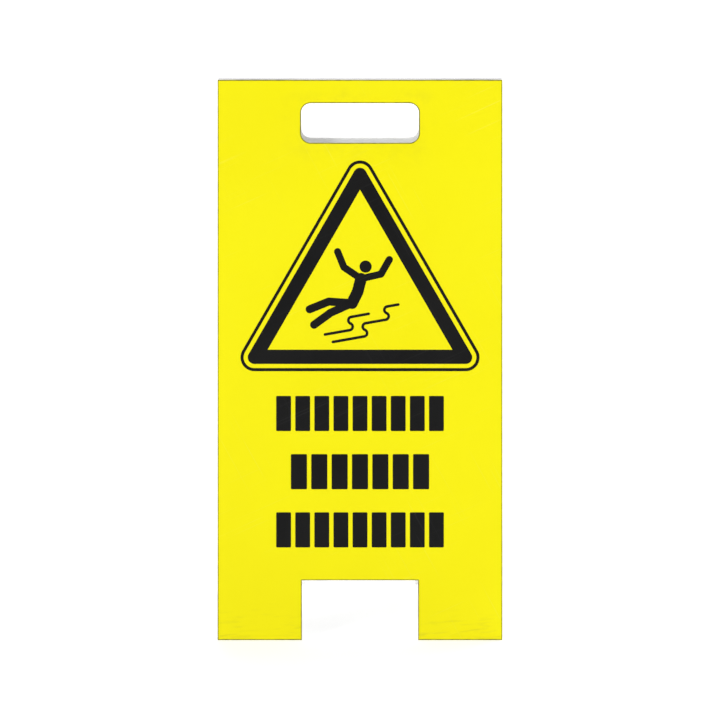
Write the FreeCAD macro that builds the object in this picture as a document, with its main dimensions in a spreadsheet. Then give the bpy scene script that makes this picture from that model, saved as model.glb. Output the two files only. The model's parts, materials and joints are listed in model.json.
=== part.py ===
"""Folding A-frame floor sign: two printed sheets hinged at the ridge, held open by a wire bail.

Row frame: millimetres, +Z up, +X to the right seen from the front, the front sheet on the -Y side,
origin on the floor under the middle of the sign.

Every piece is drawn in the frame of the leaf that carries it: the hinge axis runs along X through the
origin, the sheet hangs down along -Z, and its printed face looks towards -Y. A placement then leans that
leaf outwards and lifts the hinge axis to its height; the rear leaf is the same one turned half a turn.
"""
import FreeCAD, Part
import math
import os
import re

import Sketcher

# ---------------------------------------------------------------- driving dimensions, mm and degrees
DIMENSIONS = {
    # the two sheets
    "panel_width": (305, "width of a sheet"),
    "panel_length": (600, "length of a sheet down its printed face"),
    "panel_thickness": (4, "sheet stock"),
    "lean_angle": (11, "lean of each sheet from upright when the sign stands open"),
    "axis_to_face": (6, "hinge axis to the inner face of a sheet"),
    "axis_below_top": (8, "hinge axis below the top edge of a sheet"),
    "hand_slot_width": (126.5, "hand slot across the sheet"),
    "hand_slot_height": (42.5, "hand slot down the sheet"),
    "hand_slot_below_top": (25, "top edge to hand slot"),
    "hand_slot_corner": (10.5, "corner radius of the hand slot"),
    "edge_break": (0.5, "broken edges around the inner face of a sheet"),
    "foot_notch_width": (124.5, "gap between the two feet of a sheet"),
    "foot_notch_height": (64, "height of the gap between the feet"),
    # printed face
    "film_thickness": (0.2, "coloured film over the outer face"),
    "graphic_thickness": (0.15, "black film of the graphics"),
    "triangle_side": (277.6, "side of the triangle before its corners are rounded"),
    "triangle_base_height": (288, "bottom of the triangle above the bottom edge"),
    "triangle_corner": (14.8, "outer corner radius of the triangle"),
    "outline_width": (3.3, "thin outline of the triangle"),
    "outline_gap": (4.5, "gap between thin outline and thick band"),
    "band_width": (15.2, "thick band of the triangle"),
    # slipping figure, from the bottom middle of the sheet
    "head_radius": (6.5, "head"),
    "head_across": (6, "head centre to the right of the middle"),
    "head_height": (400, "head centre above the bottom edge"),
    "neck_across": (1, "shoulders to the right of the middle"),
    "neck_height": (387, "shoulders above the bottom edge"),
    "chest_length": (14, "shoulders to waist"),
    "chest_angle": (-104, "direction of the torso above the waist"),
    "belly_length": (14, "waist to hips"),
    "belly_angle": (-116, "direction of the torso below the waist"),
    "torso_width": (12.4, "stroke width of the torso"),
    "arm_width": (7.6, "stroke width of the arms"),
    "upper_arm_length": (22, "shoulder to elbow"),
    "forearm_length": (18, "elbow to hand"),
    "raised_arm_angle": (146, "direction of the left upper arm"),
    "raised_forearm_angle": (112, "direction of the left forearm"),
    "spread_arm_angle": (13, "direction of the right upper arm"),
    "spread_forearm_angle": (60, "direction of the right forearm"),
    "leg_width": (8.6, "stroke width of the legs"),
    "thigh_length": (25, "hip to knee"),
    "shin_length": (22, "knee to foot"),
    "upper_thigh_angle": (176, "direction of the upper thigh"),
    "upper_shin_angle": (202, "direction of the upper shin"),
    "lower_thigh_angle": (204, "direction of the lower thigh"),
    "lower_shin_angle": (216, "direction of the lower shin"),
    # skid marks under the figure
    "skid_width": (2.9, "stroke width of the skid marks"),
    "skid_start_across": (-37.5, "start of the first mark from the middle"),
    "skid_start_height": (327.3, "start of the first mark above the bottom edge"),
    "skid_shift_across": (8.5, "second mark to the right of the first"),
    "skid_shift_height": (-8, "second mark above the first"),
    "skid_slope": (10, "direction of the straight runs"),
    "skid_first_run": (27, "first run of the first mark"),
    "skid_last_run": (19, "last run of the first mark"),
    "skid_long_run": (34, "first run of the second mark"),
    "skid_middle_run": (22, "middle run of the second mark"),
    "skid_end_run": (12, "last run of the second mark"),
    "skid_bend": (3.7, "radius of the bends"),
    "skid_turn": (148, "turn of each bend"),
    # rows of blocks in place of lettering
    "block_height": (37.6, "height of a block"),
    "block_gap": (4.6, "gap between blocks"),
    "block_corner": (1.2, "corner radius of a block"),
    "block_row_pitch": (62.3, "row to row"),
    "lowest_row_height": (99.3, "bottom of the lowest row above the bottom edge"),
    "long_row_width": (179.5, "width of the upper and lower rows"),
    "short_row_width": (148, "width of the middle row"),
    "long_row_blocks": (9, "blocks in the upper and lower rows"),
    "short_row_blocks": (7, "blocks in the middle row"),
    # moulded hinges
    "hinge_across": (108, "hinge centre from the middle"),
    "hinge_knuckles": (5, "knuckles of a hinge, shared between its two leaves"),
    "knuckle_length": (12, "length of one knuckle"),
    "knuckle_gap": (0.4, "end play between knuckles"),
    "barrel_radius": (5.7, "outside of the knuckles"),
    "leaf_thickness": (3, "hinge leaf"),
    "leaf_height": (35, "hinge axis to the lower edge of a leaf"),
    "leaf_corner": (3, "corner radius of a leaf"),
    "leaf_round": (0.9, "rounded rim of a leaf"),
    "knuckle_break": (0.5, "chamfer at the ends of a knuckle"),
    "pin_radius": (2, "hinge pin"),
    "pin_clearance": (0.1, "radial clearance of the pin in the knuckles"),
    "pin_head_radius": (3.2, "upset head of the pin"),
    "pin_head_height": (1.2, "upset head of the pin"),
    "pin_head_round": (0.95, "rounded rim of the upset head"),
    # rivets
    "rivet_radius": (1.6, "shank"),
    "rivet_hole_clearance": (0.05, "radial clearance of the shank"),
    "rivet_sink_radius": (3.3, "countersunk head in the outer face"),
    "rivet_sink_depth": (1.7, "countersunk head in the outer face"),
    "rivet_head_radius": (3.1, "formed head inside"),
    "rivet_head_height": (1.3, "formed head inside"),
    "rivet_round": (0.7, "rolled rim of the formed head"),
    "rivet_dimple_radius": (1.1, "hollow in the formed head"),
    "rivet_dimple_depth": (0.9, "hollow in the formed head"),
    "hinge_rivet_across": (42, "rivet to rivet along the hinge"),
    "hinge_rivet_down": (14.5, "rivet to rivet down the leaf"),
    "hinge_rivet_first": (14, "hinge axis to the first rivet row"),
    # wire bail that holds the sign open
    "bail_length": (200, "hinge axis to bail pivot, and bail pivot to crossbar"),
    "wire_radius": (2.5, "spring-steel wire"),
    "bail_half_width": (112, "bail leg from the middle"),
    "bail_pivot_bend": (7, "bend from leg to pivot end"),
    "bail_corner_bend": (10, "bend from leg to crossbar"),
    "bail_end": (134.8, "pivot end from the middle"),
    "eye_clearance": (0.1, "radial clearance of the wire in its pivot clips"),
    "slot_clearance": (0.25, "clearance of the wire in its guides"),
    "cap_radius": (4.6, "push-on cap"),
    "cap_length": (4, "push-on cap"),
    "cap_wall": (1.4, "end wall of the cap"),
    "cap_round": (1, "rounded rim of the cap"),
    # moulded clips that carry the bail
    "mount_base": (2, "base plate of clips and guides"),
    "mount_width": (12, "base plate across"),
    "lug_radius": (5, "eye around the wire"),
    "lug_length": (11, "eye along the wire"),
    "clip_across": (125.5, "pivot clip from the middle"),
    "clip_height": (34, "base plate of the pivot clip down the sheet"),
    "clip_rivets": (22, "rivet to rivet on the pivot clip"),
    "guide_across": (86, "crossbar guide from the middle"),
    "guide_wall": (2.2, "wall around the slot of the guide"),
    "guide_thickness": (7, "slotted wall of the guide"),
    "guide_foot": (12, "base plate beyond the slotted wall"),
    "mount_corner": (2.5, "corner radius of the base plates"),
    "mount_round": (0.7, "rounded rim of the base plates"),
    "lug_break": (0.6, "chamfer around eyes and slotted walls"),
    "gusset_length": (5, "gusset from an eye down to its base plate"),
    "gusset_thickness": (2.4, "gusset of an eye"),
}

doc = FreeCAD.newDocument("folding_floor_sign")
sheet = doc.addObject("Spreadsheet::Sheet", "dims")
for row, (alias, (size, meaning)) in enumerate(DIMENSIONS.items(), start=1):
    sheet.set(f"A{row}", alias)
    sheet.set(f"B{row}", str(size))
    sheet.set(f"C{row}", meaning)
    sheet.setAlias(f"B{row}", alias)
doc.recompute()

ALIAS = re.compile(r"\b(" + "|".join(DIMENSIONS) + r")\b")
LEAF_TOP = "axis_below_top"
LEAF_BOTTOM = "(axis_below_top - panel_length)"
OUTER_FACE = "(axis_to_face + panel_thickness)"
FILM_FACE = "(axis_to_face + panel_thickness + film_thickness)"
OPEN_REACH = "(2 * bail_length * cos(2 * lean_angle))"
CLOSED_REACH = "(2 * bail_length)"
NEAR = 0.001  # how closely an edge has to lie where it is looked for, mm
MARGIN = 1  # how far around a feature its edges are looked for, mm


# ---------------------------------------------------------------- expressions and sketches
def bound(text):
    """An expression over the sheet's cells, from one that names its aliases."""
    return ALIAS.sub(r"dims.\1", text)


def value(text):
    """The present value of such an expression."""
    return float(sheet.evalExpression(bound(text)))


def origin_part(body, role):
    return next(f for f in body.Origin.OriginFeatures if f.Role == role)


def sketch_on(body, role, offset="0", up="0"):
    """A sketch on one of the body's origin planes, moved off it by offset and along its own up axis."""
    sketch = body.newObject("Sketcher::SketchObject", body.Label + "_sketch")
    sketch.AttachmentSupport = [(origin_part(body, role), "")]
    sketch.MapMode = "FlatFace"
    sketch.setExpression("AttachmentOffset.Base.z", bound(offset))
    sketch.setExpression("AttachmentOffset.Base.y", bound(up))
    return sketch


def fix_point(sketch, geometry, end, across, up):
    """Ties a point of the sketch to its place by two expressions."""
    for kind, text in (("DistanceX", across), ("DistanceY", up)):
        index = sketch.addConstraint(Sketcher.Constraint(kind, -1, 1, geometry, end, value(text)))
        sketch.setExpression(f"Constraints[{index}]", bound(text))


def fix_radius(sketch, geometry, radius):
    index = sketch.addConstraint(Sketcher.Constraint("Radius", geometry, value(radius)))
    sketch.setExpression(f"Constraints[{index}]", bound(radius))


def vector(across, up):
    return FreeCAD.Vector(value(across), value(up), 0)


def draw_polygon(sketch, corners):
    """A closed outline through (across, up) expressions."""
    first = sketch.GeometryCount
    count = len(corners)
    for index in range(count):
        ends = corners[index], corners[(index + 1) % count]
        sketch.addGeometry(Part.LineSegment(vector(*ends[0]), vector(*ends[1])))
    for index in range(count):
        following = first + (index + 1) % count
        sketch.addConstraint(Sketcher.Constraint("Coincident", first + index, 2, following, 1))
    for index, corner in enumerate(corners):
        fix_point(sketch, first + index, 1, *corner)


def draw_rectangle(sketch, left, low, right, high):
    draw_polygon(sketch, [(left, low), (right, low), (right, high), (left, high)])


def draw_circle(sketch, across, up, radius):
    centre = vector(across, up)
    index = sketch.addGeometry(Part.Circle(centre, FreeCAD.Vector(0, 0, 1), value(radius)))
    fix_point(sketch, index, 3, across, up)
    fix_radius(sketch, index, radius)


def draw_polyline(sketch, points):
    """An open run of straight lines through (across, up) expressions."""
    for start, end in zip(points, points[1:]):
        index = sketch.addGeometry(Part.LineSegment(vector(*start), vector(*end)))
        fix_point(sketch, index, 1, *start)
        fix_point(sketch, index, 2, *end)


def draw_arc(sketch, centre, radius, start, stop):
    """An arc of that radius, anticlockwise from the start angle to the stop angle."""
    circle = Part.Circle(vector(*centre), FreeCAD.Vector(0, 0, 1), value(radius))
    arc = sketch.addGeometry(Part.ArcOfCircle(circle, math.radians(start), math.radians(stop)))
    fix_radius(sketch, arc, radius)
    return arc


def draw_upright_slot(sketch, across, low, high, radius):
    """A round-ended slot that runs up the sketch between two end centres."""
    for up, start in ((high, 0), (low, 180)):
        arc = draw_arc(sketch, (across, up), radius, start, start + 180)
        fix_point(sketch, arc, 3, across, up)
    for sign in (-1, 1):
        shift = FreeCAD.Vector(sign * value(radius), 0, 0)
        sketch.addGeometry(Part.LineSegment(vector(across, high) + shift, vector(across, low) + shift))
    for join in ((0, 2, 2, 1), (2, 2, 1, 1), (1, 2, 3, 2), (3, 1, 0, 1)):
        sketch.addConstraint(Sketcher.Constraint("Tangent", *join))


# ---------------------------------------------------------------- PartDesign features
def new_body(label):
    body = doc.addObject("PartDesign::Body", label)
    body.Label = label
    body.AllowCompound = True
    return body


def pad(body, sketch, length):
    """Material along the sketch's normal: -Y for XZ_Plane, +X for YZ_Plane."""
    feature = body.newObject("PartDesign::Pad", "pad")
    feature.Profile = sketch
    feature.setExpression("Length", bound(length))
    doc.recompute()
    return feature


def cut_through(body, sketch):
    """A pocket right through the body, both ways from the sketch."""
    before = body.Shape.Volume
    feature = body.newObject("PartDesign::Pocket", "pocket")
    feature.Profile = sketch
    feature.SideType = "Symmetric"
    feature.Type = "ThroughAll"
    doc.recompute()
    if body.Shape.Volume >= before:
        raise RuntimeError(f"a pocket of {body.Label} cuts nothing")
    return feature


def dress_edges(body, feature, kind, size, chosen):
    """Rounds (Fillet) or breaks (Chamfer) the edges of the feature that the test picks out."""
    names = [f"Edge{i}" for i, edge in enumerate(feature.Shape.Edges, start=1) if chosen(edge)]
    dressed = body.newObject("PartDesign::" + kind, kind.lower())
    dressed.Base = (feature, names)
    dressed.setExpression("Radius" if kind == "Fillet" else "Size", bound(size))
    doc.recompute()
    if "Invalid" in dressed.State or not names:
        raise RuntimeError(f"a {kind.lower()} of {body.Label} fails on {names}")
    return dressed


def round_edges(body, feature, radius, chosen):
    return dress_edges(body, feature, "Fillet", radius, chosen)


def break_edges(body, feature, size, chosen):
    return dress_edges(body, feature, "Chamfer", size, chosen)


def in_plane(axis, position):
    """A test for edges that lie wholly in a plane square to an axis, such as ("y", -6)."""
    def chosen(edge):
        ends = edge.FirstParameter, (edge.FirstParameter + edge.LastParameter) / 2, edge.LastParameter
        return all(abs(getattr(edge.valueAt(at), axis) - position) < NEAR for at in ends)

    return chosen


def runs_through(edge):
    """A straight edge square to the sheet."""
    line = edge.valueAt(edge.LastParameter) - edge.valueAt(edge.FirstParameter)
    return len(edge.Vertexes) == 2 and abs(line.x) < NEAR and abs(line.z) < NEAR


def repeat(body, features, axis, span, count, second_axis=None, second_span="0", second_count="1"):
    """A row, or a grid, of the features along the body's origin axes."""
    pattern = body.newObject("PartDesign::LinearPattern", "pattern")
    pattern.Originals = features
    pattern.Direction = (origin_part(body, axis), [""])
    pattern.setExpression("Length", bound(span))
    pattern.setExpression("Occurrences", bound(count))
    if second_axis:
        pattern.Direction2 = (origin_part(body, second_axis), [""])
        pattern.setExpression("Length2", bound(second_span))
        pattern.setExpression("Occurrences2", bound(second_count))
    body.Tip = pattern
    doc.recompute()
    return pattern


# ---------------------------------------------------------------- where each leaf of the sign stands
LEAN = value("lean_angle")
AXIS_HEIGHT = value(f"-{LEAF_BOTTOM} * cos(lean_angle) - {OUTER_FACE} * sin(lean_angle)")
X_AXIS = FreeCAD.Vector(1, 0, 0)
RIDGE = FreeCAD.Vector(0, 0, AXIS_HEIGHT)
HALF_TURN = FreeCAD.Rotation(FreeCAD.Vector(0, 0, 1), 180)
FRONT = FreeCAD.Placement(RIDGE, FreeCAD.Rotation(X_AXIS, -LEAN))
REAR = FreeCAD.Placement(RIDGE, FreeCAD.Rotation(X_AXIS, LEAN).multiply(HALF_TURN))
BAIL_PIVOT = FRONT.multVec(FreeCAD.Vector(0, 0, -value("bail_length")))
BAIL = FreeCAD.Placement(BAIL_PIVOT, FreeCAD.Rotation(X_AXIS, 3 * LEAN))
pieces = []


def keep(piece, label, placement):
    """Adds a finished piece to the sign, in the place where it stands."""
    piece.Label = label
    piece.Placement = placement
    pieces.append(piece)


# ---------------------------------------------------------------- sheets and their coloured films
def sheet_blank(label, depth, thickness):
    """A rectangle with the hand slot and the foot notch, whose inner face is depth from the hinge axis."""
    body = new_body(label)
    outline = sketch_on(body, "XZ_Plane", depth)
    notch_top = f"{LEAF_BOTTOM} + foot_notch_height"
    draw_polygon(outline, [
        ("-panel_width / 2", LEAF_BOTTOM), ("-foot_notch_width / 2", LEAF_BOTTOM),
        ("-foot_notch_width / 2", notch_top), ("foot_notch_width / 2", notch_top),
        ("foot_notch_width / 2", LEAF_BOTTOM), ("panel_width / 2", LEAF_BOTTOM),
        ("panel_width / 2", LEAF_TOP), ("-panel_width / 2", LEAF_TOP),
    ])
    pad(body, outline, thickness)
    slot = sketch_on(body, "XZ_Plane", depth)
    slot_top = f"{LEAF_TOP} - hand_slot_below_top"
    draw_rectangle(slot, "-hand_slot_width / 2", f"{slot_top} - hand_slot_height",
                   "hand_slot_width / 2", slot_top)
    pocket = cut_through(body, slot)
    widest = value("hand_slot_width") / 2 + MARGIN
    lowest = value(f"{slot_top} - hand_slot_height") - MARGIN
    highest = value(slot_top) + MARGIN

    def slot_corner(edge):
        place = edge.CenterOfMass
        return runs_through(edge) and abs(place.x) < widest and lowest < place.z < highest

    round_edges(body, pocket, "hand_slot_corner", slot_corner)
    return body


def level_feet(body):
    """Cuts the bottom edge on the slant, so that the feet stand flat on the floor."""
    wedge = sketch_on(body, "YZ_Plane")
    draw_polygon(wedge, [
        (f"-{OUTER_FACE}", LEAF_BOTTOM),
        ("-axis_to_face", f"{LEAF_BOTTOM} + panel_thickness * tan(lean_angle)"),
        ("-axis_to_face", LEAF_BOTTOM),
    ])
    return cut_through(body, wedge)


def countersink(body, places):
    """Rivet holes, sunk from the outer face, at (across, up) expressions."""
    before = body.Shape.Volume
    marks = sketch_on(body, "XZ_Plane", OUTER_FACE)
    for across, up in places:
        draw_circle(marks, across, up, "rivet_radius")
    doc.recompute()
    hole = body.newObject("PartDesign::Hole", "rivet_holes")
    hole.Profile = marks
    doc.recompute()
    hole.ThreadType = "None"
    hole.DepthType = "ThroughAll"
    hole.DrillPoint = "Flat"
    hole.setExpression("Diameter", bound("2 * (rivet_radius + rivet_hole_clearance)"))
    hole.HoleCutType = "Countersink"
    hole.setExpression("HoleCutDiameter", bound("2 * (rivet_sink_radius + rivet_hole_clearance)"))
    hole.setExpression("HoleCutCountersinkAngle",
                       bound("2 * atan((rivet_sink_radius - rivet_radius) / rivet_sink_depth)"))
    doc.recompute()
    if body.Shape.Volume >= before:
        raise RuntimeError(f"the rivet holes of {body.Label} cut nothing")


def hinge_rivet_places():
    return [
        (f"{side} * hinge_across {sign} hinge_rivet_across / 2",
         f"-(hinge_rivet_first + {row} * hinge_rivet_down)")
        for side in (-1, 1) for sign in "-+" for row in (0, 1)
    ]


CLIP_MIDDLE = "(-bail_length)"
GUIDE_LOW = f"(-({CLOSED_REACH} + wire_radius + slot_clearance + guide_wall))"
GUIDE_HIGH = f"(-({OPEN_REACH} - wire_radius - slot_clearance - guide_wall))"
GUIDE_RIVET_LOW = f"({GUIDE_LOW} - guide_foot / 2)"
GUIDE_RIVET_HIGH = f"({GUIDE_HIGH} + guide_foot / 2)"


def clip_rivet_places():
    return [
        (f"{side} * clip_across", f"{CLIP_MIDDLE} {sign} clip_rivets / 2")
        for side in (-1, 1) for sign in "-+"
    ]


def guide_rivet_places():
    return [(f"{side} * guide_across", up) for side in (-1, 1) for up in (GUIDE_RIVET_LOW, GUIDE_RIVET_HIGH)]


def make_panel(label, extra_rivets, placement):
    body = sheet_blank(label, "axis_to_face", "panel_thickness")
    levelled = level_feet(body)
    break_edges(body, levelled, "edge_break", in_plane("y", -value("axis_to_face")))
    countersink(body, hinge_rivet_places() + extra_rivets)
    keep(body, label, placement)


def make_film(label, placement):
    keep(sheet_blank(label, OUTER_FACE, "film_thickness"), label, placement)


# ---------------------------------------------------------------- graphics, cut from black film
def triangle_corners(inset):
    """Corners of the triangle moved in by inset from its outermost edge."""
    base = f"{LEAF_BOTTOM} + triangle_base_height + ({inset})"
    half = f"triangle_side / 2 - sqrt(3) * ({inset})"
    apex = f"{LEAF_BOTTOM} + triangle_base_height + triangle_side * sqrt(3) / 2 - 2 * ({inset})"
    return [(f"-({half})", base), (half, base), ("0", apex)]


def make_triangle(label, inset, width, rounded_inside, placement):
    """A triangular ring of that width; its rounded corners stay concentric with the outermost ones."""
    body = new_body(label)
    outer = sketch_on(body, "XZ_Plane", FILM_FACE)
    draw_polygon(outer, triangle_corners(inset))
    pad(body, outer, "graphic_thickness")
    inner = sketch_on(body, "XZ_Plane", FILM_FACE)
    draw_polygon(inner, triangle_corners(f"{inset} + {width}"))
    ring = cut_through(body, inner)

    def corners_at(depth):
        places = [(value(x), value(z)) for x, z in triangle_corners(depth)]

        def chosen(edge):
            at = edge.CenterOfMass
            return runs_through(edge) and any(abs(at.x - x) + abs(at.z - z) < NEAR for x, z in places)

        return chosen

    if rounded_inside:
        within = f"{inset} + {width}"
        ring = round_edges(body, ring, f"triangle_corner - ({within})", corners_at(within))
    round_edges(body, ring, f"triangle_corner - ({inset})", corners_at(inset))
    keep(body, label, placement)


def onward(start, length, angle):
    """The (across, up) expressions of a point that lies in a direction from another."""
    return f"({start[0]} + {length} * cos({angle}))", f"({start[1]} + {length} * sin({angle}))"


FACING_OUT = FreeCAD.Rotation(X_AXIS, 90)


def stroke(points, width):
    """A round-ended black stroke of that width along a run of straight lines."""
    line = doc.addObject("Sketcher::SketchObject", "stroke_line")
    line.Placement = FreeCAD.Placement(FreeCAD.Vector(0, -value(FILM_FACE), 0), FACING_OUT)
    draw_polyline(line, points)
    doc.recompute()
    outline = doc.addObject("Part::Offset2D", "stroke_outline")
    outline.Source = line
    outline.Mode = "Pipe"
    outline.Join = "Arc"
    outline.Fill = True
    outline.setExpression("Value", bound(f"({width}) / 2"))
    return thicken(outline)


def thicken(outline):
    """A flat black piece from a closed outline."""
    piece = doc.addObject("Part::Extrusion", "stroke")
    piece.Base = outline
    piece.DirMode = "Custom"
    piece.Dir = FreeCAD.Vector(0, -1, 0)
    piece.Solid = True
    piece.setExpression("LengthFwd", bound("graphic_thickness"))
    return piece


ARMS = (("raised_arm_angle", "raised_forearm_angle"), ("spread_arm_angle", "spread_forearm_angle"))
LEGS = (("upper_thigh_angle", "upper_shin_angle"), ("lower_thigh_angle", "lower_shin_angle"))


def make_figure(label, placement):
    """A plain stick figure that slips: a round head, and strokes for torso, arms and legs."""
    neck = ("neck_across", f"{LEAF_BOTTOM} + neck_height")
    waist = onward(neck, "chest_length", "chest_angle")
    hip = onward(waist, "belly_length", "belly_angle")
    limbs = [stroke([neck, waist, hip], "torso_width")]
    for upper, lower in ARMS:
        elbow = onward(neck, "upper_arm_length", upper)
        limbs.append(stroke([neck, elbow, onward(elbow, "forearm_length", lower)], "arm_width"))
    for upper, lower in LEGS:
        knee = onward(hip, "thigh_length", upper)
        limbs.append(stroke([hip, knee, onward(knee, "shin_length", lower)], "leg_width"))
    head = doc.addObject("Part::Cylinder", "head")
    head.Placement = FreeCAD.Placement(FreeCAD.Vector(0, 0, 0), FACING_OUT)
    head.setExpression("Radius", bound("head_radius"))
    head.setExpression("Height", bound("graphic_thickness"))
    head.setExpression("Placement.Base.x", bound("head_across"))
    head.setExpression("Placement.Base.y", bound(f"-{FILM_FACE}"))
    head.setExpression("Placement.Base.z", bound(f"{LEAF_BOTTOM} + head_height"))
    torso = doc.addObject("Part::MultiFuse", "limbs")
    torso.Shapes = limbs
    figure = doc.addObject("Part::Compound", label)
    figure.Links = [torso, head]
    doc.recompute()
    keep(figure, label, placement)


def skid_path(across, up, runs):
    """A wire of straight runs; each is joined to the next by a bend to the left and one to the right."""
    radius, turn, slope = value("skid_bend"), value("skid_turn"), value("skid_slope")

    def ahead(length, angle):
        return FreeCAD.Rotation(FreeCAD.Vector(0, 0, 1), angle).multVec(FreeCAD.Vector(length, 0, 0))

    at = FreeCAD.Vector(across, up, 0)
    edges = []
    for index, run in enumerate(runs):
        if index > 0:
            for heading, side in ((slope, 1), (slope + turn, -1)):
                centre = at + ahead(radius, heading + side * 90)
                middle = centre - ahead(radius, heading + side * (90 + turn / 2))
                end = centre - ahead(radius, heading + side * (90 + turn))
                edges.append(Part.Arc(at, middle, end).toShape())
                at = end
        end = at + ahead(run, slope)
        edges.append(Part.LineSegment(at, end).toShape())
        at = end
    return Part.Wire(edges)


def make_skid_marks(label, placement):
    """Two skid marks; each is one thin black piece."""
    across, up = value("skid_start_across"), value(f"{LEAF_BOTTOM} + skid_start_height")
    short_mark = ("skid_first_run", "skid_last_run")
    long_mark = ("skid_long_run", "skid_middle_run", "skid_end_run")
    marks = []
    for right, high, names in (
        (0, 0, short_mark),
        (value("skid_shift_across"), value("skid_shift_height"), long_mark),
    ):
        wire = skid_path(across + right, up + high, [value(name) for name in names])
        outline = wire.makeOffset2D(value("skid_width") / 2, join=0, fill=False, openResult=False)
        mark = Part.Face(outline).extrude(FreeCAD.Vector(0, 0, value("graphic_thickness")))
        mark.Placement = FreeCAD.Placement(FreeCAD.Vector(0, -value(FILM_FACE), 0), FACING_OUT)
        marks.append(mark)
    piece = doc.addObject("Part::Feature", label)
    piece.Shape = Part.makeCompound(marks)
    keep(piece, label, placement)


def make_block_row(label, row, width, count, placement):
    """A row of equal blocks where a line of lettering would be; row 0 is the lowest."""
    body = new_body(label)
    block = f"(({width} - ({count} - 1) * block_gap) / {count})"
    low = f"{LEAF_BOTTOM} + lowest_row_height + {row} * block_row_pitch"
    first = sketch_on(body, "XZ_Plane", FILM_FACE)
    draw_rectangle(first, f"-{width} / 2", low, f"-{width} / 2 + {block}", f"{low} + block_height")
    solid = pad(body, first, "graphic_thickness")
    corners = round_edges(body, solid, "block_corner", runs_through)
    repeat(body, [solid, corners], "X_Axis", f"{width} - {block}", count)
    keep(body, label, placement)


# ---------------------------------------------------------------- rivets and hinges
def make_rivets(label, first, inner, placement, spans, counts):
    """Countersunk rivets through a sheet and what lies on it, up to inner from the hinge axis."""
    body = new_body(label)
    profile = sketch_on(body, "YZ_Plane", offset=first[0], up=first[1])
    sink = f"-{OUTER_FACE} + rivet_sink_depth"
    inner_face = f"-({inner})"
    head = f"{inner_face} + rivet_head_height"
    draw_polygon(profile, [
        (f"-{OUTER_FACE}", "0"), (f"-{OUTER_FACE}", "rivet_sink_radius"), (sink, "rivet_radius"),
        (inner_face, "rivet_radius"), (inner_face, "rivet_head_radius"),
        (head, "rivet_head_radius"), (head, "rivet_dimple_radius"),
        (f"{head} - rivet_dimple_depth", "rivet_dimple_radius"), (f"{head} - rivet_dimple_depth", "0"),
    ])
    turned = body.newObject("PartDesign::Revolution", "rivet")
    turned.Profile = profile
    turned.ReferenceAxis = (profile, ["H_Axis"])
    turned.Angle = 360
    doc.recompute()
    domed = round_edges(body, turned, "rivet_round", in_plane("y", value(head)))
    repeat(body, [turned, domed], "X_Axis", spans[0], counts[0], "Z_Axis", spans[1], counts[1])
    keep(body, label, placement)


def make_hinge_leaf(label, side, knuckles, placement):
    """A moulded leaf: its plate lies on the inner face of the sheet, and its knuckles share the hinge pin."""
    body = new_body(label)
    middle = f"({side} * hinge_across)"
    half = "(hinge_knuckles * knuckle_length / 2)"
    clear = "(-(barrel_radius + knuckle_gap))"
    plate = sketch_on(body, "XZ_Plane", "axis_to_face - leaf_thickness")
    draw_rectangle(plate, f"{middle} - {half}", "-leaf_height", f"{middle} + {half}", clear)
    solid = pad(body, plate, "leaf_thickness")
    lowest = value("-leaf_height") + MARGIN
    corners = round_edges(body, solid, "leaf_corner",
                          lambda edge: runs_through(edge) and edge.CenterOfMass.z < lowest)
    round_edges(body, corners, "leaf_round", in_plane("y", value("leaf_thickness - axis_to_face")))
    start = f"{middle} - {(knuckles - 1) / 2} * 2 * knuckle_length - knuckle_length / 2 + knuckle_gap / 2"
    ring = sketch_on(body, "YZ_Plane", start)
    draw_circle(ring, "0", "0", "barrel_radius")
    barrel = pad(body, ring, "knuckle_length - knuckle_gap")
    rims = break_edges(body, barrel, "knuckle_break",
                       lambda edge: edge.Closed and abs(edge.CenterOfMass.z) < NEAR)
    web_outline = sketch_on(body, "YZ_Plane", start)
    draw_rectangle(web_outline, "-axis_to_face", f"{clear} - 1", "-axis_to_face + leaf_thickness", "0")
    web = pad(body, web_outline, "knuckle_length - knuckle_gap")
    repeat(body, [barrel, rims, web], "X_Axis", f"{knuckles - 1} * 2 * knuckle_length", str(knuckles))
    bore = sketch_on(body, "YZ_Plane", middle)
    draw_circle(bore, "0", "0", "pin_radius + pin_clearance")
    cut_through(body, bore)
    holes = sketch_on(body, "XZ_Plane", "axis_to_face")
    for sign in "-+":
        for row in (0, 1):
            across = f"{middle} {sign} hinge_rivet_across / 2"
            up = f"-(hinge_rivet_first + {row} * hinge_rivet_down)"
            draw_circle(holes, across, up, "rivet_radius + rivet_hole_clearance")
    cut_through(body, holes)
    keep(body, label, placement)


def make_hinge_pin(label, side, placement):
    """A steel pin with an upset head at each end."""
    body = new_body(label)
    middle = f"({side} * hinge_across)"
    length = "(hinge_knuckles * knuckle_length + 2 * knuckle_gap)"
    shank = sketch_on(body, "YZ_Plane", f"{middle} - {length} / 2")
    draw_circle(shank, "0", "0", "pin_radius")
    pad(body, shank, length)
    for start in (f"{middle} - {length} / 2 - pin_head_height", f"{middle} + {length} / 2"):
        outline = sketch_on(body, "YZ_Plane", start)
        draw_circle(outline, "0", "0", "pin_head_radius")
        solid = pad(body, outline, "pin_head_height")
    ends = [value(f"{middle} {sign} ({length} / 2 + pin_head_height)") for sign in "-+"]
    round_edges(body, solid, "pin_head_round",
                lambda edge: edge.Closed and any(abs(edge.CenterOfMass.x - x) < NEAR for x in ends))
    keep(body, label, placement)


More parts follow.
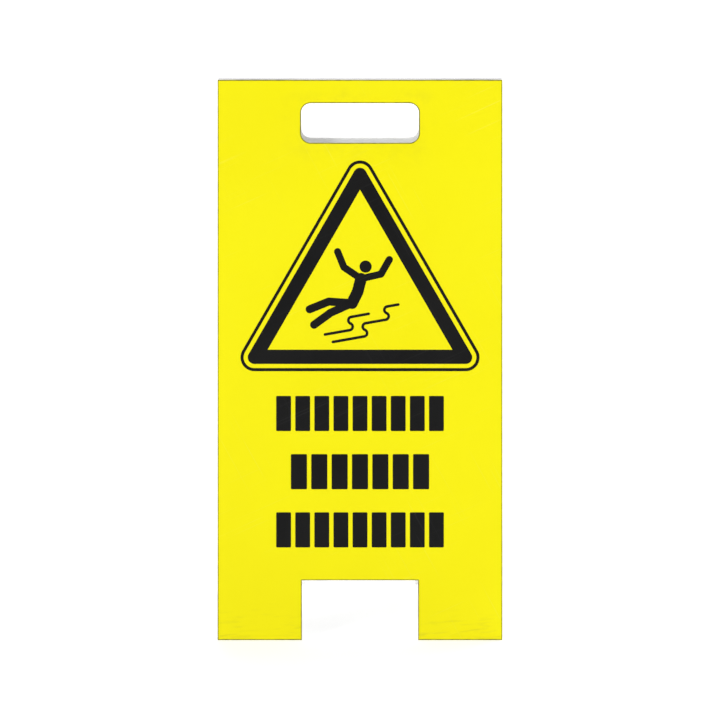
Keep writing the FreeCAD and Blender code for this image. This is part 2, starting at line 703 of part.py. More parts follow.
# ---------------------------------------------------------------- bail, its pivot clips and its guides
def mount_plate(body, middle, low, high):
    """The base plate of a clip or a guide, on the inner face of the sheet."""
    plate = sketch_on(body, "XZ_Plane", "axis_to_face - mount_base")
    draw_rectangle(plate, f"{middle} - mount_width / 2", low, f"{middle} + mount_width / 2", high)
    solid = pad(body, plate, "mount_base")
    corners = round_edges(body, solid, "mount_corner", runs_through)
    round_edges(body, corners, "mount_round", in_plane("y", value("mount_base - axis_to_face")))


def mount_holes(body, middle, heights):
    holes = sketch_on(body, "XZ_Plane", "axis_to_face")
    for up in heights:
        draw_circle(holes, middle, up, "rivet_radius + rivet_hole_clearance")
    cut_through(body, holes)


def make_pivot_clip(label, side, placement):
    """A moulded eye that carries one pivot end of the bail."""
    body = new_body(label)
    middle = f"({side} * clip_across)"
    mount_plate(body, middle, f"{CLIP_MIDDLE} - clip_height / 2", f"{CLIP_MIDDLE} + clip_height / 2")
    start = f"{middle} - lug_length / 2"
    eye = sketch_on(body, "YZ_Plane", start)
    draw_circle(eye, "0", CLIP_MIDDLE, "lug_radius")
    pad(body, eye, "lug_length")
    stem = sketch_on(body, "YZ_Plane", start)
    draw_rectangle(stem, "-axis_to_face", f"{CLIP_MIDDLE} - lug_radius", "0", f"{CLIP_MIDDLE} + lug_radius")
    solid = pad(body, stem, "lug_length")
    ends = [value(start), value(f"{start} + lug_length")]
    above_plate = value("mount_base - axis_to_face") + MARGIN
    break_edges(body, solid, "lug_break",
                lambda edge: edge.CenterOfMass.y > above_plate
                and any(in_plane("x", end)(edge) for end in ends))
    for sign in "-+":
        gusset = sketch_on(body, "YZ_Plane", f"{middle} - gusset_thickness / 2")
        foot = f"{CLIP_MIDDLE} {sign} lug_radius"
        draw_polygon(gusset, [
            ("-axis_to_face + mount_base / 2", f"{CLIP_MIDDLE}"),
            ("-axis_to_face + mount_base / 2", f"{foot} {sign} gusset_length / 2"),
            ("-axis_to_face + mount_base", f"{foot} {sign} gusset_length / 2"),
            ("0", foot), ("0", f"{CLIP_MIDDLE}"),
        ])
        pad(body, gusset, "gusset_thickness")
    bore = sketch_on(body, "YZ_Plane", middle)
    draw_circle(bore, "0", CLIP_MIDDLE, "wire_radius + eye_clearance")
    cut_through(body, bore)
    mount_holes(body, middle, [f"{CLIP_MIDDLE} {sign} clip_rivets / 2" for sign in "-+"])
    keep(body, label, placement)


def make_guide(label, side, placement):
    """A moulded guide whose slot carries the crossbar; the upper end of the slot stops the sign opening."""
    body = new_body(label)
    middle = f"({side} * guide_across)"
    mount_plate(body, middle, f"{GUIDE_LOW} - guide_foot", f"{GUIDE_HIGH} + guide_foot")
    outline = sketch_on(body, "YZ_Plane", f"{middle} - guide_thickness / 2")
    reach = "wire_radius + slot_clearance + guide_wall"
    draw_rectangle(outline, "-axis_to_face", GUIDE_LOW, reach, GUIDE_HIGH)
    wall = pad(body, outline, "guide_thickness")
    top = value(reach)
    rounded = round_edges(body, wall, reach,
                          lambda edge: abs(edge.CenterOfMass.y - top) < NEAR
                          and abs(edge.CenterOfMass.x - value(middle)) < NEAR)
    above_plate = value("mount_base - axis_to_face") + MARGIN
    ends = [value(f"{middle} {sign} guide_thickness / 2") for sign in "-+"]
    break_edges(body, rounded, "lug_break",
                lambda edge: edge.CenterOfMass.y > above_plate
                and any(in_plane("x", end)(edge) for end in ends))
    slot = sketch_on(body, "YZ_Plane", middle)
    draw_upright_slot(slot, "0", f"-{CLOSED_REACH}", f"-{OPEN_REACH}", "wire_radius + slot_clearance")
    cut_through(body, slot)
    mount_holes(body, middle, [GUIDE_RIVET_LOW, GUIDE_RIVET_HIGH])
    keep(body, label, placement)


def make_bail(label, placement):
    """Bent wire: two pivot ends pointing out, two legs and a crossbar; its pivot axis is at the origin."""
    body = new_body(label)
    path = sketch_on(body, "XZ_Plane")
    shoulder = "(bail_half_width + bail_pivot_bend)"
    corner = "(bail_half_width - bail_corner_bend)"
    foot = "(-bail_length + bail_corner_bend)"
    runs = [
        [("bail_end", "0"), (shoulder, "0")],
        [("bail_half_width", "-bail_pivot_bend"), ("bail_half_width", foot)],
        [(corner, "-bail_length"), (f"-{corner}", "-bail_length")],
        [("-bail_half_width", foot), ("-bail_half_width", "-bail_pivot_bend")],
        [(f"-{shoulder}", "0"), ("-bail_end", "0")],
    ]
    for start, end in runs:
        line = path.addGeometry(Part.LineSegment(vector(*start), vector(*end)))
        fix_point(path, line, 1, *start)
        fix_point(path, line, 2, *end)
    bends = [
        ("bail_pivot_bend", (shoulder, "-bail_pivot_bend"), 90, (0, 2), (1, 1)),
        ("bail_corner_bend", (corner, foot), 270, (2, 1), (1, 2)),
        ("bail_corner_bend", (f"-{corner}", foot), 180, (3, 1), (2, 2)),
        ("bail_pivot_bend", (f"-{shoulder}", "-bail_pivot_bend"), 0, (3, 2), (4, 1)),
    ]
    for radius, centre, angle, first, last in bends:
        arc = draw_arc(path, centre, radius, angle, angle + 90)
        path.addConstraint(Sketcher.Constraint("Coincident", *first, arc, 1))
        path.addConstraint(Sketcher.Constraint("Coincident", *last, arc, 2))
    section = sketch_on(body, "YZ_Plane", "bail_end")
    draw_circle(section, "0", "0", "wire_radius")
    doc.recompute()
    wire = body.newObject("PartDesign::AdditivePipe", "wire")
    wire.Profile = section
    wire.Spine = (path, [f"Edge{i + 1}" for i in range(path.GeometryCount)])
    doc.recompute()
    keep(body, label, placement)


def make_cap(label, side, placement):
    """A push-on cap over a pivot end, so that the bail can't spring out of its clip."""
    body = new_body(label)
    end = f"({side} * bail_end)"
    back = f"{end} - {side} * (cap_length - cap_wall)"
    face = f"{end} + {side} * cap_wall"
    profile = sketch_on(body, "XZ_Plane")
    draw_polygon(profile, [
        (back, "wire_radius"), (back, "cap_radius"), (face, "cap_radius"),
        (face, "0"), (end, "0"), (end, "wire_radius"),
    ])
    turned = body.newObject("PartDesign::Revolution", "cap")
    turned.Profile = profile
    turned.ReferenceAxis = (profile, ["H_Axis"])
    turned.Angle = 360
    doc.recompute()
    rim = value(face)
    round_edges(body, turned, "cap_round",
                lambda edge: edge.Closed and abs(edge.CenterOfMass.x - rim) < NEAR)
    keep(body, label, placement)


# ---------------------------------------------------------------- the sign
SIDES = {"left": -1, "right": 1}
GRIP_HINGE = "axis_to_face - leaf_thickness"
GRIP_MOUNT = "axis_to_face - mount_base"
HINGE_RIVET_LOW = "-(hinge_rivet_first + hinge_rivet_down)"

for leaf, leaf_place, leaf_rivets in (
    ("front", FRONT, clip_rivet_places()),
    ("rear", REAR, guide_rivet_places()),
):
    make_panel(f"{leaf}_panel", leaf_rivets, leaf_place)
    make_film(f"{leaf}_face_film", leaf_place)
    make_triangle(f"{leaf}_triangle_outline", "0", "outline_width", True, leaf_place)
    make_triangle(f"{leaf}_triangle_band", "(outline_width + outline_gap)", "band_width", False, leaf_place)
    make_figure(f"{leaf}_slipping_figure", leaf_place)
    make_skid_marks(f"{leaf}_skid_marks", leaf_place)
    make_block_row(f"{leaf}_block_row_top", 2, "long_row_width", "long_row_blocks", leaf_place)
    make_block_row(f"{leaf}_block_row_middle", 1, "short_row_width", "short_row_blocks", leaf_place)
    make_block_row(f"{leaf}_block_row_bottom", 0, "long_row_width", "long_row_blocks", leaf_place)

for name, side in SIDES.items():
    for leaf, leaf_place, local_side, knuckles in (("front", FRONT, side, 3), ("rear", REAR, -side, 2)):
        make_hinge_leaf(f"{name}_hinge_{leaf}_leaf", local_side, knuckles, leaf_place)
        first_rivet = (f"{local_side} * hinge_across - hinge_rivet_across / 2", HINGE_RIVET_LOW)
        make_rivets(f"{name}_hinge_{leaf}_rivets", first_rivet, GRIP_HINGE, leaf_place,
                    ("hinge_rivet_across", "hinge_rivet_down"), ("2", "2"))
    make_hinge_pin(f"{name}_hinge_pin", side, FRONT)
    make_pivot_clip(f"{name}_pivot_clip", side, FRONT)
    make_rivets(f"{name}_pivot_clip_rivets", (f"{side} * clip_across", f"{CLIP_MIDDLE} - clip_rivets / 2"),
                GRIP_MOUNT, FRONT, ("0", "clip_rivets"), ("1", "2"))
    make_guide(f"{name}_bail_guide", -side, REAR)
    make_rivets(f"{name}_bail_guide_rivets", (f"{-side} * guide_across", GUIDE_RIVET_LOW),
                GRIP_MOUNT, REAR, ("0", f"{GUIDE_RIVET_HIGH} - {GUIDE_RIVET_LOW}"), ("1", "2"))
    make_cap(f"{name}_bail_cap", side, BAIL)
make_bail("wire_bail", BAIL)

# ---------------------------------------------------------------- tests and STEP files
doc.recompute()
for item in doc.Objects:
    if "Invalid" in item.State or "Error" in item.State:
        raise RuntimeError(f"{item.Label} has state {item.State}")
os.makedirs("parts", exist_ok=True)
for piece in pieces:
    shape = piece.Shape
    if shape.isNull() or not shape.isValid() or not shape.Solids:
        raise RuntimeError(f"{piece.Label} has no valid solid")
    shape.exportStep(f"parts/{piece.Label}.step")
    print(piece.Label, len(shape.Solids), round(shape.Volume, 2))
print(f"hinge axis {AXIS_HEIGHT:.4f} mm above the floor, bail pivot at {BAIL_PIVOT}")
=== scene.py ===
import json
import math

import bpy
from mathutils import Euler, Matrix, Vector


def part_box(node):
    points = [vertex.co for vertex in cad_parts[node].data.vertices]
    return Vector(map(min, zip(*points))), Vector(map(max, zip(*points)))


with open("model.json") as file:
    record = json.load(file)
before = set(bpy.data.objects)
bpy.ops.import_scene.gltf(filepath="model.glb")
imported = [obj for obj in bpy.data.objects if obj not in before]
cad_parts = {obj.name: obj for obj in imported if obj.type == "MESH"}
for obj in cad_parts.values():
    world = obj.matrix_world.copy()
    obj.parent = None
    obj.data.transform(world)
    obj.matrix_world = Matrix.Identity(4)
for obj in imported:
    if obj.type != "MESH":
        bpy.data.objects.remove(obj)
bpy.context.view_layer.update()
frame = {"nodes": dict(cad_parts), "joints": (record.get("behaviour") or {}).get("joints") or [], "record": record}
NODES = frame["nodes"]
SCENE = bpy.context.scene
MM = 0.001

# ---------------------------------------------------------------- where the two sheets stand
FOLD = next(joint for joint in frame["joints"] if joint["name"] == "fold")
RIDGE = Vector(FOLD["pos_m"])
LEAN = math.radians(max(FOLD["range_deg"])) / 2
TURNS = {
    "front": Euler((-LEAN, 0, 0)).to_matrix().to_4x4(),
    "rear": Euler((LEAN, 0, 0)).to_matrix().to_4x4() @ Matrix.Rotation(math.pi, 4, "Z"),
}


def sheet_frame(leaf):
    """From the row frame to a sheet's own: x across, -y out of its face, z up from its film's bottom edge."""
    hang = (Matrix.Translation(RIDGE) @ TURNS[leaf]).inverted()
    bottom = min((hang @ vertex.co).z for vertex in NODES[leaf + "_face_film"].data.vertices)
    return Matrix.Translation((0, 0, -bottom)) @ hang


SHEET = {leaf: sheet_frame(leaf) for leaf in TURNS}

# both films have the same outline: their size, their hand slot and their foot notch, in metres
OUTLINE = [SHEET["front"] @ vertex.co for vertex in NODES["front_face_film"].data.vertices]
HALF_WIDTH = max(point.x for point in OUTLINE)
LENGTH = max(point.z for point in OUTLINE)
INSIDE = [point for point in OUTLINE if abs(point.x) < HALF_WIDTH - MM and MM < point.z < LENGTH - MM]
SLOT = [point for point in INSIDE if point.z > LENGTH / 2]
SLOT_HALF_WIDTH = max(point.x for point in SLOT)
SLOT_LOW = min(point.z for point in SLOT)
SLOT_HIGH = max(point.z for point in SLOT)
SLOT_STRAIGHT = max(point.x for point in SLOT if point.z < SLOT_LOW + 0.01 * MM)
SLOT_CORNER = SLOT_HALF_WIDTH - SLOT_STRAIGHT
NOTCH = [point for point in INSIDE if point.z < LENGTH / 2]
NOTCH_HALF_WIDTH = max(point.x for point in NOTCH)
NOTCH_HEIGHT = max(point.z for point in NOTCH)


def grey(value):
    return (value, value, value, 1.0)


# ---------------------------------------------------------------- colours, as linear values
YELLOW_BRIGHT = (0.935, 0.858, 0.0020, 1)
YELLOW_DEEP = (0.915, 0.828, 0.0015, 1)
YELLOW_SCRATCH = (0.97, 0.93, 0.25, 1)
YELLOW_GRIME = (0.20, 0.17, 0.045, 1)
# painted edge shade, with some grime, for the fine line along the film's cut rim
YELLOW_RIM_SHADE_AND_GRIME = (0.085, 0.075, 0.012, 1)
BLACK_DEEP = (0.0040, 0.0040, 0.0042, 1)
BLACK_FADED = (0.0062, 0.0061, 0.0062, 1)
BLACK_SCRATCH = grey(0.03)
BOARD_CLEAN = (0.92, 0.92, 0.91, 1)
BOARD_DUSTY = (0.84, 0.84, 0.82, 1)
BOARD_SCRATCH = (0.46, 0.46, 0.45, 1)
BOARD_WORN = (0.48, 0.47, 0.44, 1)
BOARD_SOIL = (0.33, 0.31, 0.28, 1)
BOARD_PORE = (0.58, 0.58, 0.56, 1)
NYLON = (0.012, 0.012, 0.0125, 1)
NYLON_RUBBED = (0.045, 0.045, 0.044, 1)
VINYL = (0.016, 0.016, 0.017, 1)
VINYL_DUSTY = (0.05, 0.05, 0.048, 1)
ZINC = (0.66, 0.67, 0.69, 1)
ZINC_BLOOM = (0.50, 0.52, 0.55, 1)
STEEL = (0.60, 0.59, 0.57, 1)
STEEL_DULL = (0.44, 0.43, 0.41, 1)
ALUMINIUM = (0.80, 0.81, 0.82, 1)
ALUMINIUM_DULL = (0.64, 0.65, 0.66, 1)


# ---------------------------------------------------------------- node graphs for the finishes
class Finish:
    """A procedural material. An input of a node is a plain value or another node's output."""

    def __init__(self, name, **shader_values):
        self.material = bpy.data.materials.new(name)
        self.material.use_nodes = True
        self.tree = self.material.node_tree
        self.shader = self.tree.nodes["Principled BSDF"]
        self.place = self.add("TexCoord", output="Object")
        self.facing = self.place.node.outputs["Normal"]
        for socket, value in shader_values.items():
            self.set(socket.replace("_", " "), value)

    def connect(self, socket, value):
        if isinstance(value, bpy.types.NodeSocket):
            self.tree.links.new(value, socket)
        else:
            socket.default_value = value

    def set(self, socket, value):
        """Sets an input of the shader to a constant, or to a node's output."""
        self.connect(self.shader.inputs[socket], value)

    def add(self, kind, inputs=None, output=0, **settings):
        """Adds a node and returns one of its outputs."""
        node = self.tree.nodes.new("ShaderNode" + kind)
        for name, setting in settings.items():
            setattr(node, name, setting)
        for socket, value in (inputs or {}).items():
            self.connect(node.inputs[socket], value)
        return node.outputs[output]

    # arithmetic
    def calc(self, operation, *values):
        return self.add("Math", dict(enumerate(values)), operation=operation)

    def times(self, first, second):
        return self.calc("MULTIPLY", first, second)

    def minus(self, first, second):
        return self.calc("SUBTRACT", first, second)

    def least(self, first, second):
        return self.calc("MINIMUM", first, second)

    def most(self, first, second):
        return self.calc("MAXIMUM", first, second)

    def dot(self, first, second):
        return self.add("VectorMath", {0: first, 1: second}, output="Value", operation="DOT_PRODUCT")

    def remap(self, value, low, high, to_low=0.0, to_high=1.0):
        """A smooth step from to_low, where the value is low or less, to to_high."""
        inputs = {"Value": value, "From Min": low, "From Max": high, "To Min": to_low, "To Max": to_high}
        return self.add("MapRange", inputs, interpolation_type="SMOOTHSTEP")

    def blend(self, factor, first, second):
        """The first colour where the factor is 0, the second where it is 1."""
        node = self.add("Mix", data_type="RGBA").node
        for socket, value in zip((node.inputs[0], node.inputs[6], node.inputs[7]), (factor, first, second)):
            self.connect(socket, value)
        return node.outputs[2]

    # patterns, with scales in cycles per metre
    def placed(self, matrix=None, stretch=(1, 1, 1), turn=(0, 0, 0)):
        """Coordinates in metres: the row frame's, or those of a matrix, then turned and stretched."""
        where = self.place
        if matrix is not None:
            moved = {"Vector": where, "Location": matrix.to_translation(), "Rotation": matrix.to_euler()}
            where = self.add("Mapping", moved)
        if turn != (0, 0, 0):
            where = self.add("Mapping", {"Vector": where, "Rotation": turn})
        if stretch != (1, 1, 1):
            where = self.add("Mapping", {"Vector": where, "Scale": stretch})
        return where

    def noise(self, where, scale, detail=2.0, roughness=0.5, distortion=0.0):
        inputs = {"Vector": where, "Scale": scale, "Detail": detail, "Roughness": roughness,
                  "Distortion": distortion}
        return self.add("TexNoise", inputs)

    def scratches(self, matrix, angle, rarity, spread, across=620, along=7):
        """Long hair-thin scratches over a sheet at an angle to its width, in loose patches."""
        where = self.placed(matrix, (along, 1, across), (0, math.radians(angle), 0))
        lines = self.remap(self.noise(where, 1.0, 1.0, 0.4, 0.15), rarity, rarity + 0.05)
        patches = self.remap(self.noise(self.placed(matrix), spread, 1.0), 0.45, 0.62)
        return self.times(lines, patches)

    def arris(self, radius):
        """1 along the sharp edges of a piece, falling to 0 within the radius of them."""
        dulled = self.add("Bevel", {"Radius": radius}, samples=4)
        kept = self.dot(dulled, self.add("NewGeometry", output="Normal"))
        return self.remap(kept, 0.78, 0.985, 1.0, 0.0)

    def bumps(self, *layers):
        """Stacks layers, each a height and its depth in metres, and gives their normal to the shader."""
        normal = None
        for height, depth in layers:
            inputs = {"Height": height, "Distance": depth, "Strength": 1.0}
            if normal is not None:
                inputs["Normal"] = normal
            normal = self.add("Bump", inputs)
        self.set("Normal", normal)


# ---------------------------------------------------------------- distances on a sheet, for its wear and the painted edge shade along its cut rim
def box_distance(finish, across, up):
    """Distance outside a box, from the distances past its side and past its top or bottom."""
    past_side = finish.calc("POWER", finish.most(across, 0.0), 2.0)
    past_end = finish.calc("POWER", finish.most(up, 0.0), 2.0)
    return finish.calc("SQRT", finish.calc("ADD", past_side, past_end))


def slot_distance(finish, side, up):
    """Distance in metres from the rim of the hand slot, for a place outside the slot."""
    middle = (SLOT_LOW + SLOT_HIGH) / 2
    half_height = (SLOT_HIGH - SLOT_LOW) / 2
    from_middle = finish.calc("ABSOLUTE", finish.minus(up, middle))
    core = box_distance(finish, finish.minus(side, SLOT_HALF_WIDTH - SLOT_CORNER),
                        finish.minus(from_middle, half_height - SLOT_CORNER))
    return finish.minus(core, SLOT_CORNER)


def rim_distance(finish, side, up, slot):
    """Distance in metres from the nearest cut edge of the film."""
    ends = finish.least(up, finish.minus(LENGTH, up))
    outline = finish.least(finish.minus(HALF_WIDTH, side), ends)
    notch = box_distance(finish, finish.minus(side, NOTCH_HALF_WIDTH), finish.minus(up, NOTCH_HEIGHT))
    return finish.least(outline, finish.least(slot, notch))


# ---------------------------------------------------------------- the two films
FILM_SHINE = 0.16


def film_surface(finish, matrix, roughness):
    """What both films share: orange peel, hairline scratches, and a roughness that drifts a little."""
    flat = finish.placed(matrix)
    peel = finish.noise(flat, 260.0, 1.5, 0.5)
    grain = finish.noise(flat, 2600.0, 2.0, 0.6)
    hairs = finish.most(finish.scratches(matrix, 24, 0.66, 9.0), finish.scratches(matrix, -61, 0.68, 7.0))
    drift = finish.remap(finish.noise(flat, 14.0, 3.0, 0.55), 0.3, 0.7, -0.05, 0.06)
    scratched = finish.calc("MULTIPLY_ADD", hairs, 0.16, drift)
    finish.set("Roughness", finish.calc("ADD", roughness, scratched))
    finish.bumps((peel, 0.06 * MM), (grain, 0.006 * MM), (hairs, -0.02 * MM))
    return flat, hairs


def yellow_film(leaf):
    finish = Finish(leaf + "_yellow_film", Specular_IOR_Level=FILM_SHINE)
    matrix = SHEET[leaf]
    flat, hairs = film_surface(finish, matrix, 0.42)
    parts = finish.add("SeparateXYZ", {0: flat}).node.outputs
    side, up = finish.calc("ABSOLUTE", parts["X"]), parts["Z"]
    slot = slot_distance(finish, side, up)
    tone = finish.remap(finish.noise(flat, 5.0, 3.0, 0.5), 0.3, 0.7)
    colour = finish.blend(tone, YELLOW_DEEP, YELLOW_BRIGHT)
    colour = finish.blend(finish.times(hairs, 0.10), colour, YELLOW_SCRATCH)

    # hands darken the film around the slot
    handled = finish.remap(slot, 2 * MM, 34 * MM, 1.0, 0.0)
    smudge = finish.remap(finish.noise(flat, 46.0, 4.0, 0.62), 0.42, 0.75)
    colour = finish.blend(finish.times(finish.times(handled, smudge), 0.08), colour, YELLOW_GRIME)

    # mops and shoes scuff the feet, nearly along the floor
    low = finish.remap(up, 0.0, 46 * MM, 1.0, 0.0)
    streaks = finish.placed(matrix, (26, 1, 210), (0, math.radians(4), 0))
    scuff = finish.remap(finish.noise(streaks, 1.0, 4.0, 0.6, 0.3), 0.50, 0.72)
    colour = finish.blend(finish.times(finish.times(low, scuff), 0.16), colour, YELLOW_GRIME)

    # a fine dark line painted along the knife-cut rim of the film: painted edge shade, with some grime
    rim = finish.remap(rim_distance(finish, side, up, slot), 0.75 * MM, 1.25 * MM, 1.0, 0.0)
    uneven = finish.remap(finish.noise(flat, 120.0, 3.0, 0.6), 0.3, 0.7, 0.72, 0.95)
    finish.set("Base Color", finish.blend(finish.times(rim, uneven), colour, YELLOW_RIM_SHADE_AND_GRIME))
    return finish.material


def black_film(leaf):
    finish = Finish(leaf + "_black_film", Specular_IOR_Level=FILM_SHINE)
    flat, hairs = film_surface(finish, SHEET[leaf], 0.40)
    tone = finish.remap(finish.noise(flat, 7.0, 3.0, 0.5), 0.3, 0.7)
    colour = finish.blend(tone, BLACK_DEEP, BLACK_FADED)
    finish.set("Base Color", finish.blend(finish.times(hairs, 0.35), colour, BLACK_SCRATCH))
    return finish.material


# ---------------------------------------------------------------- the board
def white_board(leaf):
    """Rigid PVC board: silky on its faces, and open-pored with cutter marks on its cut edges."""
    finish = Finish(leaf + "_white_board", Specular_IOR_Level=0.35)
    matrix = SHEET[leaf]
    flat = finish.placed(matrix)
    parts = finish.add("SeparateXYZ", {0: flat}).node.outputs
    out_of_face = matrix.to_3x3().inverted() @ Vector((0, 1, 0))
    cut = finish.remap(finish.calc("ABSOLUTE", finish.dot(finish.facing, out_of_face)), 0.5, 0.9, 1.0, 0.0)

    # dust on the faces, scratches, and rubbed corners that are duller where it is dusty
    dust = finish.remap(finish.noise(flat, 11.0, 5.0, 0.62), 0.42, 0.78)
    colour = finish.blend(dust, BOARD_CLEAN, BOARD_DUSTY)
    rub = finish.most(finish.scratches(matrix, 12, 0.70, 9.0, 1700, 15),
                      finish.scratches(matrix, -38, 0.71, 12.0, 2100, 19))
    colour = finish.blend(finish.times(rub, 0.30), colour, BOARD_SCRATCH)
    worn = finish.times(finish.arris(0.7 * MM), finish.remap(dust, 0.0, 0.8, 0.08, 0.32))
    colour = finish.blend(worn, colour, BOARD_WORN)

    # soil just above the floor
    low = finish.remap(parts["Z"], 0.0, 22 * MM, 0.5, 0.0)
    soil = finish.remap(finish.noise(flat, 70.0, 4.0, 0.65), 0.40, 0.7)
    colour = finish.blend(finish.times(low, soil), colour, BOARD_SOIL)

    # pores and cutter chatter on the cut edges
    pores = finish.add("TexVoronoi", {"Vector": flat, "Scale": 2300.0}, output="Distance")
    along_cut = finish.add("CombineXYZ", {0: finish.calc("ADD", parts["X"], parts["Z"])})
    waves = {"Vector": along_cut, "Scale": 260.0, "Distortion": 1.2, "Detail": 2.0, "Detail Scale": 3.0}
    chatter = finish.add("TexWave", waves, output=1)
    shade = finish.times(cut, finish.remap(pores, 0.1, 0.5, 0.30, 0.0))
    finish.set("Base Color", finish.blend(shade, colour, BOARD_PORE))
    face_roughness = finish.remap(dust, 0.0, 1.0, 0.46, 0.56)
    finish.set("Roughness", finish.calc("MULTIPLY_ADD", cut, 0.25, face_roughness))
    silk = finish.noise(flat, 1500.0, 3.0, 0.6)
    finish.bumps(
        (silk, 0.03 * MM),
        (finish.times(cut, chatter), 0.06 * MM),
        (finish.times(cut, pores), 0.18 * MM),
    )
    return finish.material


# ---------------------------------------------------------------- mouldings, caps and metal
def moulded_nylon():
    """Black nylon with a spark-eroded skin, rubbed grey in patches and along its edges."""
    finish = Finish("spark_eroded_nylon", Specular_IOR_Level=0.45)
    patches = finish.remap(finish.noise(finish.place, 190.0, 4.0, 0.6), 0.52, 0.74)
    rubbed = finish.most(finish.times(patches, 0.6), finish.arris(0.5 * MM))
    finish.set("Base Color", finish.blend(rubbed, NYLON, NYLON_RUBBED))
    finish.set("Roughness", finish.remap(rubbed, 0.0, 1.0, 0.56, 0.44))
    spark = finish.noise(finish.place, 2800.0, 3.0, 0.65)
    sink_marks = finish.noise(finish.place, 120.0, 2.0)
    finish.bumps((spark, 0.08 * MM), (sink_marks, 0.1 * MM))
    return finish.material


def dipped_vinyl():
    """Soft vinyl, dipped: glossy, with slow waves in its skin, and dust on it and along its edges."""
    finish = Finish("dipped_vinyl", Specular_IOR_Level=0.5)
    settled = finish.remap(finish.noise(finish.place, 420.0, 4.0, 0.6), 0.5, 0.72, 0.0, 0.6)
    dust = finish.most(settled, finish.times(finish.arris(0.5 * MM), 0.5))
    finish.set("Base Color", finish.blend(dust, VINYL, VINYL_DUSTY))
    finish.set("Roughness", finish.remap(dust, 0.0, 1.0, 0.26, 0.5))
    finish.bumps((finish.noise(finish.place, 260.0, 2.0), 0.2 * MM))
    return finish.material


def metal(name, bright, dull, roughness, streaks):
    """Bare or plated metal, bright along its edges. streaks: cycles per metre of its fine lines, by axis."""
    finish = Finish(name, Metallic=1.0)
    lines = finish.noise(finish.placed(stretch=streaks), 1.0, 3.0, 0.6)
    bloom = finish.remap(finish.noise(finish.place, 90.0, 4.0, 0.6), 0.38, 0.7)
    unpolished = finish.most(finish.minus(bloom, finish.arris(0.3 * MM)), 0.0)
    finish.set("Base Color", finish.blend(unpolished, bright, dull))
    drawn = finish.remap(lines, 0.3, 0.7, roughness - 0.05, roughness + 0.06)
    finish.set("Roughness", finish.calc("MULTIPLY_ADD", bloom, 0.12, drawn))
    finish.bumps((lines, 0.02 * MM), (finish.noise(finish.place, 500.0, 2.0), 0.03 * MM))
    return finish.material


# ---------------------------------------------------------------- which node has which finish
def finish_nodes(finishes, prefix=""):
    """Gives each CAD node whose name starts with prefix the finish of its material slot, if it is here."""
    for part in frame["record"]["subparts"]:
        if part["node"].startswith(prefix) and part["material_slot"] in finishes:
            NODES[part["node"]].data.materials[0] = finishes[part["material_slot"]]


finish_nodes({
    "black_nylon": moulded_nylon(),
    "cap_vinyl": dipped_vinyl(),
    "zinc_wire": metal("zinc_wire", ZINC, ZINC_BLOOM, 0.30, (900, 900, 260)),
    "pin_steel": metal("pin_steel", STEEL, STEEL_DULL, 0.28, (60, 1500, 1500)),
    "rivet_aluminium": metal("rivet_aluminium", ALUMINIUM, ALUMINIUM_DULL, 0.33, (1400, 1400, 1400)),
})
for leaf in TURNS:
    finish_nodes({
        "yellow_film": yellow_film(leaf),
        "black_film": black_film(leaf),
        "white_board": white_board(leaf),
    }, leaf)

# ---------------------------------------------------------------- camera, square to the front sheet
LENS = 200
SENSOR = 36
SEEN_WIDTH = 0.771
film_low, film_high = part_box("front_face_film")
face_middle = (film_low + film_high) / 2
outward = Vector((0, -math.cos(LEAN), math.sin(LEAN)))

camera = bpy.data.objects.new("camera", bpy.data.cameras.new("camera"))
SCENE.collection.objects.link(camera)
camera.data.lens = LENS
camera.data.sensor_width = SENSOR
camera.data.clip_end = 100
camera.location = face_middle + outward * (SEEN_WIDTH * LENS / SENSOR)
camera.rotation_euler = Euler((math.pi / 2 - LEAN, 0, 0))
SCENE.camera = camera

# ---------------------------------------------------------------- pale floor, a little bright of itself
FLOOR_REACH = 32
CORNERS = ((-1, -1), (1, -1), (1, 1), (-1, 1))

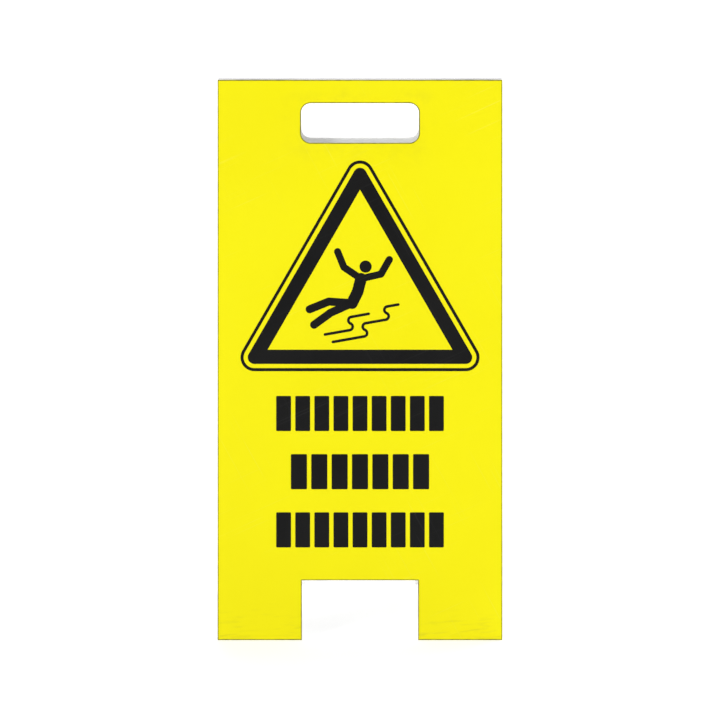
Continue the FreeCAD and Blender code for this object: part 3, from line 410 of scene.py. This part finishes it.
floor_finish = Finish("pale_floor", Emission_Color=grey(1.0), Emission_Strength=0.52, Roughness=0.8)
speckle = floor_finish.remap(floor_finish.noise(floor_finish.place, 3.0, 4.0), 0.3, 0.7)
floor_finish.set("Base Color", floor_finish.blend(speckle, grey(0.80), grey(0.82)))
floor_mesh = bpy.data.meshes.new("floor")
floor_mesh.from_pydata([(x * FLOOR_REACH, y * FLOOR_REACH, 0) for x, y in CORNERS], [], [(0, 1, 2, 3)])
floor_mesh.materials.append(floor_finish.material)
floor = bpy.data.objects.new("floor", floor_mesh)
SCENE.collection.objects.link(floor)

# ---------------------------------------------------------------- soft studio light
HORIZON_TOP = 0.06
DOME_BOTTOM = 0.22
HORIZON_LIGHT = 1.0
DOME_LIGHT = 0.22

world = bpy.data.worlds.new("studio")
SCENE.world = world
world.use_nodes = True
sky = world.node_tree
direction = sky.nodes.new("ShaderNodeSeparateXYZ")
fade = sky.nodes.new("ShaderNodeMapRange")
fade.interpolation_type = "SMOOTHSTEP"
fade.inputs["From Min"].default_value = HORIZON_TOP
fade.inputs["From Max"].default_value = DOME_BOTTOM
fade.inputs["To Min"].default_value = HORIZON_LIGHT
fade.inputs["To Max"].default_value = DOME_LIGHT
sky.links.new(sky.nodes.new("ShaderNodeTexCoord").outputs["Generated"], direction.inputs[0])
sky.links.new(direction.outputs["Z"], fade.inputs["Value"])
sky.links.new(fade.outputs["Result"], sky.nodes["Background"].inputs["Strength"])
sky.nodes["Background"].inputs["Color"].default_value = grey(1.0)


def sun(name, elevation, azimuth, strength, softness):
    """A soft light far off, at that elevation and azimuth in degrees; azimuth 0 is in front of the sign."""
    lamp = bpy.data.objects.new(name, bpy.data.lights.new(name, "SUN"))
    lamp.data.energy = strength
    lamp.data.angle = math.radians(softness)
    up = math.radians(elevation)
    around = math.radians(azimuth)
    toward = Vector((math.sin(around) * math.cos(up), -math.cos(around) * math.cos(up), math.sin(up)))
    lamp.rotation_euler = toward.to_track_quat("Z", "Y").to_euler()
    SCENE.collection.objects.link(lamp)


sun("key_light", 30, -46, 1.12, 16)
sun("top_light", 68, 30, 0.5, 40)
sun("back_light", 60, 165, 1.5, 30)
SCENE.view_settings.view_transform = "Standard"
